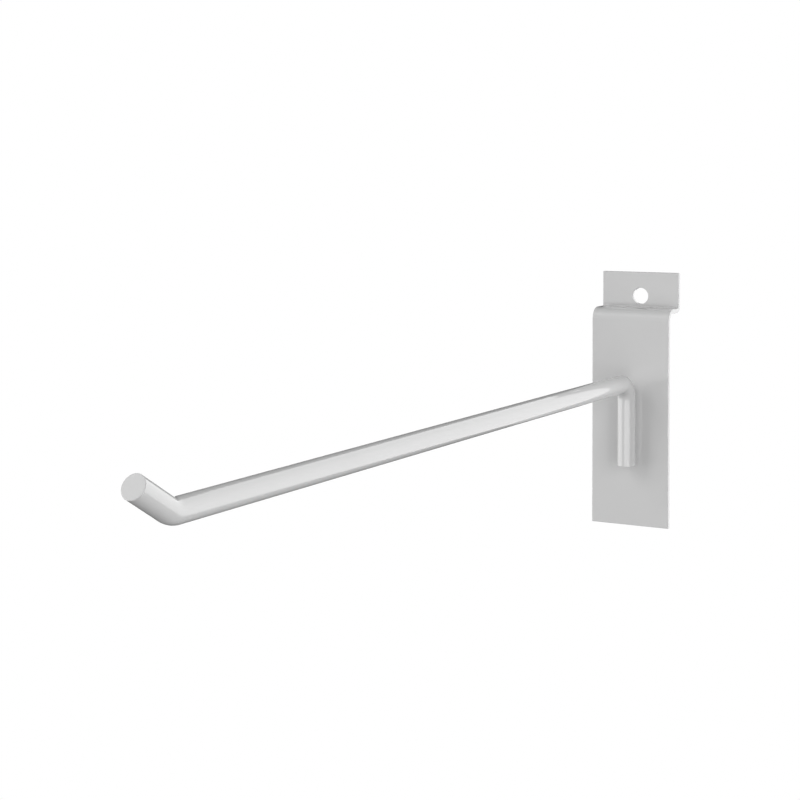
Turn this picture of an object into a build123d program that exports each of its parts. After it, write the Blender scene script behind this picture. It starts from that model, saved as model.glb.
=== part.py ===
from build123d import *
import os
from math import cos, radians, sin

# Slatwall hook: a folded sheet back plate with a bent round rod welded to its front.
# Millimetres, +Z up, +Y into the wall, +X across the plate.
# The origin is on the plate's rear face, at mid-width, on the arm's axis.

# Folded sheet
sheet_thickness = 1.5
plate_width = 27.3
plate_drop = 48.3            # arm axis down to the plate's bottom edge
shoulder_rise = 24.65        # arm axis up to the shoulder's upper face
joggle_depth = 9.4           # plate's front face back to the tab's front face
tab_height = 11.85           # shoulder's upper face up to the tab's top edge
shoulder_bend_radius = 2.5   # inside radius where the plate turns into the shoulder
tab_bend_radius = 0.5        # inside radius where the shoulder turns up into the tab

# Hole through the tab
hole_diameter = 5.5
hole_below_edge = 8.1        # tab's top edge down to the hole's centre

# Bent rod
rod_diameter = 6.0
arm_length = 257.5           # plate's front face to where the arm's and the tip's axes cross
tip_length = 14.6            # that crossing to the tip's cut end
tip_angle = 30.0             # degrees above the arm
tip_bend_radius = 7.5        # to the rod's axis
leg_length = 27.8            # arm axis down to the leg's cut end
leg_bend_radius = 5.5        # to the rod's axis
weld_set_down = 0.1          # depth of the flat that the weld presses into the leg
end_chamfer = 0.2

# Places worked out from the sizes
plate_front = -sheet_thickness
tab_front = plate_front + joggle_depth
tab_top = shoulder_rise + tab_height
hole_center = tab_top - hole_below_edge
rod_radius = rod_diameter / 2
leg_axis = plate_front - rod_radius + weld_set_down
tip_corner = plate_front - arm_length
tip_end = (
    tip_corner - tip_length * cos(radians(tip_angle)),
    tip_length * sin(radians(tip_angle)),
)

# Back plate: the line of the front face, thickened towards the wall
with BuildPart() as back_plate:
    with BuildSketch(Plane.YZ):
        with BuildLine():
            FilletPolyline(
                (plate_front, -plate_drop),
                (plate_front, shoulder_rise),
                (tab_front, shoulder_rise),
                (tab_front, tab_top),
                radius=[shoulder_bend_radius + sheet_thickness, tab_bend_radius],
            )
            offset(amount=sheet_thickness, side=Side.RIGHT)
        make_face()
    extrude(amount=plate_width / 2, both=True)
    with Locations(Plane(origin=(0, tab_front, hole_center), z_dir=(0, -1, 0))):
        Hole(radius=hole_diameter / 2, depth=sheet_thickness)
back_plate.part.label = "back_plate"

# Hook rod: leg, arm and upturned tip swept along one axis line
with BuildPart() as hook_rod:
    with BuildLine(Plane.YZ) as rod_axis:
        FilletPolyline(
            (leg_axis, -leg_length),
            (leg_axis, 0),
            (tip_corner, 0),
            tip_end,
            radius=[leg_bend_radius, tip_bend_radius],
        )
    with BuildSketch(Plane(origin=rod_axis.line @ 0, z_dir=rod_axis.line % 0)):
        Circle(rod_radius)
    sweep(path=rod_axis.line)
    cut_ends = hook_rod.faces().filter_by(GeomType.PLANE)
    chamfer(cut_ends.edges(), length=end_chamfer)
    # Weld seat: the leg is flat where it lies against the plate
    split(bisect_by=Plane(origin=(0, plate_front, 0), z_dir=(0, -1, 0)), keep=Keep.TOP)
hook_rod.part.label = "hook_rod"

os.makedirs("parts", exist_ok=True)
export_step(back_plate.part, "parts/back_plate.step")
export_step(hook_rod.part, "parts/hook_rod.step")
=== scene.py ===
import bpy
import bmesh
import math
from mathutils import Matrix, Vector


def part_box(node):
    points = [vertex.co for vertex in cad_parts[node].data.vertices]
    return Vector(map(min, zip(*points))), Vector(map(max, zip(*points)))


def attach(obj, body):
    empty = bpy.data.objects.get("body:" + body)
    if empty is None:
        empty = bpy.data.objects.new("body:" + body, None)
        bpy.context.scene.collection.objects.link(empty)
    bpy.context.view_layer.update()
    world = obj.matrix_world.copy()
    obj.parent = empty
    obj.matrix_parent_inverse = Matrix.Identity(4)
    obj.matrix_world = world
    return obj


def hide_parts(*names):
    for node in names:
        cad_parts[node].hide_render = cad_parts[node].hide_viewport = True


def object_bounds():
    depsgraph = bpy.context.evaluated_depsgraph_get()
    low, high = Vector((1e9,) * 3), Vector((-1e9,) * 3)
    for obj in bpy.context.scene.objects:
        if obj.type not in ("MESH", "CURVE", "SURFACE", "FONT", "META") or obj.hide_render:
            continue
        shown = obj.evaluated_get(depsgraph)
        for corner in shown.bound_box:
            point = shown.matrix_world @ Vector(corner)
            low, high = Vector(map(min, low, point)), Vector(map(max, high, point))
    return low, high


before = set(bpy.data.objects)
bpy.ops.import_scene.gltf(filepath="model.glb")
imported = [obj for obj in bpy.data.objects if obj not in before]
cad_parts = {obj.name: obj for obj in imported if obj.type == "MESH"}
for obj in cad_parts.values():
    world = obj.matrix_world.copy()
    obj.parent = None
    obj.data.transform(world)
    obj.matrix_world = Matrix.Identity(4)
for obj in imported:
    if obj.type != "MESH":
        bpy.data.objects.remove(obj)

cadLow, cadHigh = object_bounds()

# Slatwall hook in satin white powder coat: a folded back plate and a bent rod.
# Sizes in the dictionaries are millimetres and degrees, the scene itself is metres.
millimetre = 0.001
hookBody = "root"
quarterTurn = 90.0
mergeGap = 0.0005        # corners nearer than this are one corner
sharpAngle = 40.0        # edges that turn more than this stay crisp


def mm(value):
    return value * millimetre


# Growing a solid from its end face, the way stock is fed and bent

def firstOf(kind, items):
    return next(item for item in items if isinstance(item, kind))


def growStraight(bm, face, reach):
    grown = bmesh.ops.extrude_face_region(bm, geom=[face])["geom"]
    corners = [item for item in grown if isinstance(item, bmesh.types.BMVert)]
    bmesh.ops.translate(bm, vec=reach, verts=corners)
    return firstOf(bmesh.types.BMFace, grown)


def growBend(bm, face, center, degrees, steps):
    turned = bmesh.ops.spin(
        bm, geom=[face], cent=center, axis=(1, 0, 0), angle=math.radians(degrees), steps=steps
    )
    return firstOf(bmesh.types.BMFace, turned["geom_last"])


def softenEdges(bm, edges, radius, segments):
    bmesh.ops.bevel(
        bm, geom=edges, offset=mm(radius), segments=segments, affect="EDGES", profile=0.5, material=-1
    )


def makePiece(bm, name):
    bmesh.ops.remove_doubles(bm, verts=bm.verts, dist=mm(mergeGap))
    bmesh.ops.recalc_face_normals(bm, faces=bm.faces)
    for face in bm.faces:
        face.smooth = True
    mesh = bpy.data.meshes.new(name)
    bm.to_mesh(mesh)
    bm.free()
    mesh.set_sharp_from_angle(angle=math.radians(sharpAngle))
    piece = bpy.data.objects.new(name, mesh)
    bpy.context.scene.collection.objects.link(piece)
    return piece


def dress(piece, node, material):
    shading = piece.modifiers.new("trueShading", "WEIGHTED_NORMAL")  # long faces keep their own direction
    shading.mode = "FACE_AREA"
    shading.keep_sharp = True
    piece.data.materials.clear()
    piece.data.materials.append(material)
    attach(piece, hookBody)
    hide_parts(node)


# Shader maths: a signal is an output socket that takes part in expressions

class Signal:
    def __init__(self, finish, socket):
        self.finish = finish
        self.socket = socket

    def maths(self, operation, left, right):
        return self.finish.node("ShaderNodeMath", {"operation": operation}, {0: left, 1: right})

    def __add__(self, other):
        return self.maths("ADD", self, other)

    def __radd__(self, other):
        return self.maths("ADD", other, self)

    def __sub__(self, other):
        return self.maths("SUBTRACT", self, other)

    def __rsub__(self, other):
        return self.maths("SUBTRACT", other, self)

    def __mul__(self, other):
        return self.maths("MULTIPLY", self, other)

    def __rmul__(self, other):
        return self.maths("MULTIPLY", other, self)


# A colour Mix node has its sockets by number: factor, first colour, second colour and result
mixFactor, mixFirst, mixSecond, mixResult = 0, 6, 7, 2


class Finish:
    def __init__(self, owner):
        owner.use_nodes = True
        self.tree = owner.node_tree
        self.tree.nodes.clear()

    def node(self, kind, settings=None, sockets=None, output=0):
        made = self.tree.nodes.new(kind)
        for name, value in (settings or {}).items():
            setattr(made, name, value)
        for name, value in (sockets or {}).items():
            if isinstance(value, Signal):
                self.tree.links.new(value.socket, made.inputs[name])
            else:
                made.inputs[name].default_value = value
        return Signal(self, made.outputs[output]) if made.outputs else None

    def blend(self, factor, first, second):
        colours = {mixFactor: factor, mixFirst: first, mixSecond: second}
        return self.node("ShaderNodeMix", {"data_type": "RGBA"}, colours, mixResult)


# Powder coat: baked on, satin, with a fine orange peel and a slightly cloudy tone

powderCoat = {
    "lightTone": (0.71, 0.71, 0.71, 1),
    "darkTone": (0.68, 0.68, 0.68, 1),
    "cloudSize": 14.0,
    "cloudDetail": 3,
    "roughness": 0.06,
    "roughnessSpread": 0.02,
    "peelSize": 1.3,
    "peelDepth": 0.001,
    "peelDetail": 1,
    "grainSize": 0.35,
    "grainDepth": 0.0006,
    "grainDetail": 2,
    "refraction": 1.5,
}
noiseMiddle = 0.5


def noiseOn(finish, place, size, detail):
    return finish.node("ShaderNodeTexNoise", {}, {"Vector": place, "Scale": 1 / mm(size), "Detail": detail})


def makePowderCoat(name):
    coat = powderCoat
    material = bpy.data.materials.new(name)
    finish = Finish(material)
    place = finish.node("ShaderNodeTexCoord", output="Object")
    cloud = noiseOn(finish, place, coat["cloudSize"], coat["cloudDetail"])
    peel = noiseOn(finish, place, coat["peelSize"], coat["peelDetail"])
    grain = noiseOn(finish, place, coat["grainSize"], coat["grainDetail"])
    tone = finish.blend(cloud, coat["lightTone"], coat["darkTone"])
    roughness = coat["roughness"] + (grain - noiseMiddle) * coat["roughnessSpread"]
    height = peel * mm(coat["peelDepth"]) + grain * mm(coat["grainDepth"])
    relief = finish.node("ShaderNodeBump", {}, {"Height": height, "Distance": 1.0, "Strength": 1.0})
    surface = {"Base Color": tone, "Roughness": roughness, "Normal": relief, "IOR": coat["refraction"]}
    paint = finish.node("ShaderNodeBsdfPrincipled", {}, surface)
    finish.node("ShaderNodeOutputMaterial", {}, {"Surface": paint})
    return material


# Back plate: one strip, cut, folded back over the board and up behind its lip

plate = {
    "shoulderRise": 24.65,
    "shoulderBendRadius": 2.5,
    "tabBendRadius": 0.5,
    "thickness": 1.5,
    "holeDiameter": 5.5,
    "holeBelowEdge": 8.1,
    "edgeRadius": 0.18,
    "edgeSegments": 3,
    "bendSteps": 20,
    "holeSides": 96,
}
unitSquare = 0.5        # a grid of this size is one metre wide, ready to be scaled
drillLength = 3         # in sheet thicknesses


def growPlate(low, high):
    thickness = mm(plate["thickness"])
    shoulderTop = mm(plate["shoulderRise"])
    shoulderUnder = shoulderTop - thickness
    foldRadius = mm(plate["shoulderBendRadius"])
    tabRadius = mm(plate["tabBendRadius"])
    tabFront = high.y - thickness
    bm = bmesh.new()
    bmesh.ops.create_grid(bm, x_segments=1, y_segments=1, size=unitSquare)
    bmesh.ops.scale(bm, vec=(high.x - low.x, thickness, 1), verts=bm.verts)
    bmesh.ops.translate(bm, vec=(0, low.y + thickness / 2, low.z), verts=bm.verts)
    bm.faces.ensure_lookup_table()
    face = bm.faces[0]
    foldCenter = Vector((0, low.y + thickness + foldRadius, shoulderUnder - foldRadius))
    tabCenter = Vector((0, tabFront - tabRadius, shoulderTop + tabRadius))
    face = growStraight(bm, face, (0, 0, foldCenter.z - low.z))
    face = growBend(bm, face, foldCenter, -quarterTurn, plate["bendSteps"])
    face = growStraight(bm, face, (0, tabCenter.y - foldCenter.y, 0))
    face = growBend(bm, face, tabCenter, quarterTurn, plate["bendSteps"])
    growStraight(bm, face, (0, 0, high.z - tabCenter.z))
    return bm


def makeDrillBit(high):
    thickness = mm(plate["thickness"])
    radius = mm(plate["holeDiameter"]) / 2
    lengthwise = Matrix.Rotation(math.radians(quarterTurn), 3, "X")
    holeCenter = (0, high.y - thickness / 2, high.z - mm(plate["holeBelowEdge"]))
    bm = bmesh.new()
    bmesh.ops.create_cone(
        bm, cap_ends=True, cap_tris=False, segments=plate["holeSides"],
        radius1=radius, radius2=radius, depth=thickness * drillLength,
    )
    bmesh.ops.rotate(bm, cent=(0, 0, 0), matrix=lengthwise, verts=bm.verts)
    bmesh.ops.translate(bm, vec=holeCenter, verts=bm.verts)
    return makePiece(bm, "drillBit")


def drillTab(piece, high):
    bit = makeDrillBit(high)
    drill = piece.modifiers.new("tabHole", "BOOLEAN")
    drill.operation = "DIFFERENCE"
    drill.solver = "EXACT"
    drill.object = bit
    depsgraph = bpy.context.evaluated_depsgraph_get()
    drilled = bpy.data.meshes.new_from_object(piece.evaluated_get(depsgraph))
    piece.modifiers.clear()
    piece.data = drilled
    bpy.data.objects.remove(bit)


def makeBackPlate(material):
    low, high = (Vector(corner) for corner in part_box("back_plate"))
    piece = makePiece(growPlate(low, high), "backPlate")
    drillTab(piece, high)
    rim = piece.modifiers.new("coatedEdges", "BEVEL")
    rim.width = mm(plate["edgeRadius"])
    rim.segments = plate["edgeSegments"]
    rim.limit_method = "ANGLE"
    rim.angle_limit = math.radians(sharpAngle)
    dress(piece, "back_plate", material)
    print("back plate made")


# Hook rod: leg, quarter bend, arm, tip bend and tip from one round bar

rod = {
    "armLength": 257.5,
    "tipLength": 14.6,
    "tipAngle": 30.0,
    "tipBendRadius": 7.5,
    "legBendRadius": 5.5,
    "weldSetDown": 0.1,
    "endRadius": 0.15,
    "endSegments": 4,
    "sides": 96,
    "legBendSteps": 24,
    "tipBendSteps": 16,
}


def endRims(bm):
    cutEnds = [face for face in bm.faces if len(face.verts) == rod["sides"]]
    return [edge for end in cutEnds for edge in end.edges]


def growRod(low, high, plateFront):
    radius = (high.x - low.x) / 2
    legAxis = plateFront - radius + mm(rod["weldSetDown"])
    tipCorner = plateFront - mm(rod["armLength"])
    legBend = mm(rod["legBendRadius"])
    tipBend = mm(rod["tipBendRadius"])
    tipTurn = math.radians(rod["tipAngle"])
    tipTangent = tipBend * math.tan(tipTurn / 2)
    tipReach = mm(rod["tipLength"]) - tipTangent
    legCenter = Vector((0, legAxis - legBend, -legBend))
    tipCenter = Vector((0, tipCorner + tipTangent, tipBend))
    bm = bmesh.new()
    bmesh.ops.create_circle(bm, cap_ends=True, radius=radius, segments=rod["sides"])
    bmesh.ops.translate(bm, vec=(0, legAxis, low.z), verts=bm.verts)
    bm.faces.ensure_lookup_table()
    face = bm.faces[0]
    face = growStraight(bm, face, (0, 0, legCenter.z - low.z))
    face = growBend(bm, face, legCenter, quarterTurn, rod["legBendSteps"])
    face = growStraight(bm, face, (0, tipCenter.y - legCenter.y, 0))
    face = growBend(bm, face, tipCenter, -rod["tipAngle"], rod["tipBendSteps"])
    growStraight(bm, face, (0, -math.cos(tipTurn) * tipReach, math.sin(tipTurn) * tipReach))
    bmesh.ops.recalc_face_normals(bm, faces=bm.faces)
    softenEdges(bm, endRims(bm), rod["endRadius"], rod["endSegments"])
    return bm


def flattenWeldSeat(bm, plateFront):
    everything = bm.verts[:] + bm.edges[:] + bm.faces[:]
    cut = bmesh.ops.bisect_plane(
        bm, geom=everything, plane_co=(0, plateFront, 0), plane_no=(0, 1, 0), clear_outer=True
    )
    seam = [item for item in cut["geom_cut"] if isinstance(item, bmesh.types.BMEdge)]
    bmesh.ops.holes_fill(bm, edges=seam)


def makeHookRod(material):
    low, high = (Vector(corner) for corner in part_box("hook_rod"))
    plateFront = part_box("back_plate")[0][1]
    bm = growRod(low, high, plateFront)
    flattenWeldSeat(bm, plateFront)
    piece = makePiece(bm, "hookRod")
    dress(piece, "hook_rod", material)
    print("hook rod made")


# Camera at the photograph's angle: level with a slight tilt, looking past the plate's right side

view = {
    "eye": (219.0, -554.8, 71.32),
    "azimuth": 29.06,
    "downTilt": 1.2,
    "lens": 79.12,
    "sensorWidth": 36.0,
    "frameShift": -0.2416,
    "nearLimit": 10.0,
    "farLimit": 100000.0,
}


def setCamera():
    data = bpy.data.cameras.new("photoView")
    data.sensor_width = view["sensorWidth"]
    data.lens = view["lens"]
    data.shift_y = view["frameShift"]
    data.clip_start = mm(view["nearLimit"])
    data.clip_end = mm(view["farLimit"])
    camera = bpy.data.objects.new("photoView", data)
    camera.location = [mm(value) for value in view["eye"]]
    lookDown = math.radians(quarterTurn - view["downTilt"])
    camera.rotation_euler = (lookDown, 0, math.radians(view["azimuth"]))
    bpy.context.scene.collection.objects.link(camera)
    bpy.context.scene.camera = camera
    print("camera set")


# Stage: a pale floor well below the hook, and a pale surround

stage = {
    "floorDrop": 1500.0,
    "floorRadius": 20000.0,
    "floorSides": 64,
    "paleTone": (1.0, 1.0, 1.0, 1),
    "surroundTone": (0.225, 0.225, 0.225, 1),
}


def makeFloor():
    bm = bmesh.new()
    bmesh.ops.create_circle(bm, cap_ends=True, radius=mm(stage["floorRadius"]), segments=stage["floorSides"])
    bmesh.ops.translate(bm, vec=(0, 0, -mm(stage["floorDrop"])), verts=bm.verts)
    floor = makePiece(bm, "floor")
    material = bpy.data.materials.new("paleFloor")
    finish = Finish(material)
    glow = finish.node("ShaderNodeEmission", {}, {"Color": stage["paleTone"], "Strength": 1.0})
    finish.node("ShaderNodeOutputMaterial", {}, {"Surface": glow})
    material.cycles.emission_sampling = "NONE"  # the floor is only seen, it lights nothing
    floor.data.materials.append(material)
    floor.visible_diffuse = False
    floor.visible_glossy = False
    print("floor laid")


def makeSurround():
    world = bpy.data.worlds.new("surround")
    bpy.context.scene.world = world
    world.cycles_visibility.glossy = False  # the coat mirrors a dark room between the soft boxes
    finish = Finish(world)
    seen = finish.node("ShaderNodeLightPath", output="Is Camera Ray")
    tone = finish.blend(seen, stage["surroundTone"], stage["paleTone"])
    sky = finish.node("ShaderNodeBackground", {}, {"Color": tone, "Strength": 1.0})
    finish.node("ShaderNodeOutputWorld", {}, {"Surface": sky})
    print("surround made")


# Soft boxes: where each panel stands round the hook, the angles it fills and its brightness

softBoxes = {
    "rearPanel": {"azimuth": 153, "elevation": 8, "wide": 72, "tall": 72, "glow": 1.8},
    "rightPanel": {"azimuth": 60, "elevation": 13, "wide": 28, "tall": 38, "glow": 3.3},
    "rightLowPanel": {"azimuth": 30, "elevation": -10, "wide": 72, "tall": 7, "glow": 3.7},
    "leftPanel": {"azimuth": -64, "elevation": 24, "wide": 44, "tall": 56, "glow": 2.2},
    "leftTopPanel": {"azimuth": -40, "elevation": 48, "wide": 40, "tall": 26, "glow": 0.7},
    "leftLowPanel": {"azimuth": -68, "elevation": -11, "wide": 48, "tall": 10, "glow": 3.0},
    "farLeftPanel": {"azimuth": -124, "elevation": -11, "wide": 68, "tall": 14, "glow": 1.6},
    "underRightPanel": {"azimuth": 38, "elevation": -36, "wide": 75, "tall": 8, "glow": 1.9},
}
panelDistance = 1500.0


def makeSoftBox(name, box):
    reach = mm(panelDistance)
    turn = math.radians(box["azimuth"])
    rise = math.radians(box["elevation"])
    towards = Vector((math.sin(turn) * math.cos(rise), -math.cos(turn) * math.cos(rise), math.sin(rise)))
    data = bpy.data.lights.new(name, "AREA")
    data.shape = "RECTANGLE"
    data.size = 2 * reach * math.tan(math.radians(box["wide"]) / 2) * math.cos(rise)
    data.size_y = 2 * reach * math.tan(math.radians(box["tall"]) / 2)
    data.energy = box["glow"] * math.pi * data.size * data.size_y  # gives the panel's face its glow
    lamp = bpy.data.objects.new(name, data)
    lamp.location = (cadLow + cadHigh) / 2 + towards * reach
    lamp.rotation_euler = (math.radians(quarterTurn) - rise, 0, turn)
    lamp.visible_camera = False
    bpy.context.scene.collection.objects.link(lamp)


def makeSoftBoxes():
    for name, box in softBoxes.items():
        makeSoftBox(name, box)
    print("soft boxes placed")


bpy.context.scene.view_settings.view_transform = "Standard"
coat = makePowderCoat("satinPowderCoat")
makeBackPlate(coat)
makeHookRod(coat)
setCamera()
makeFloor()
makeSurround()
makeSoftBoxes()
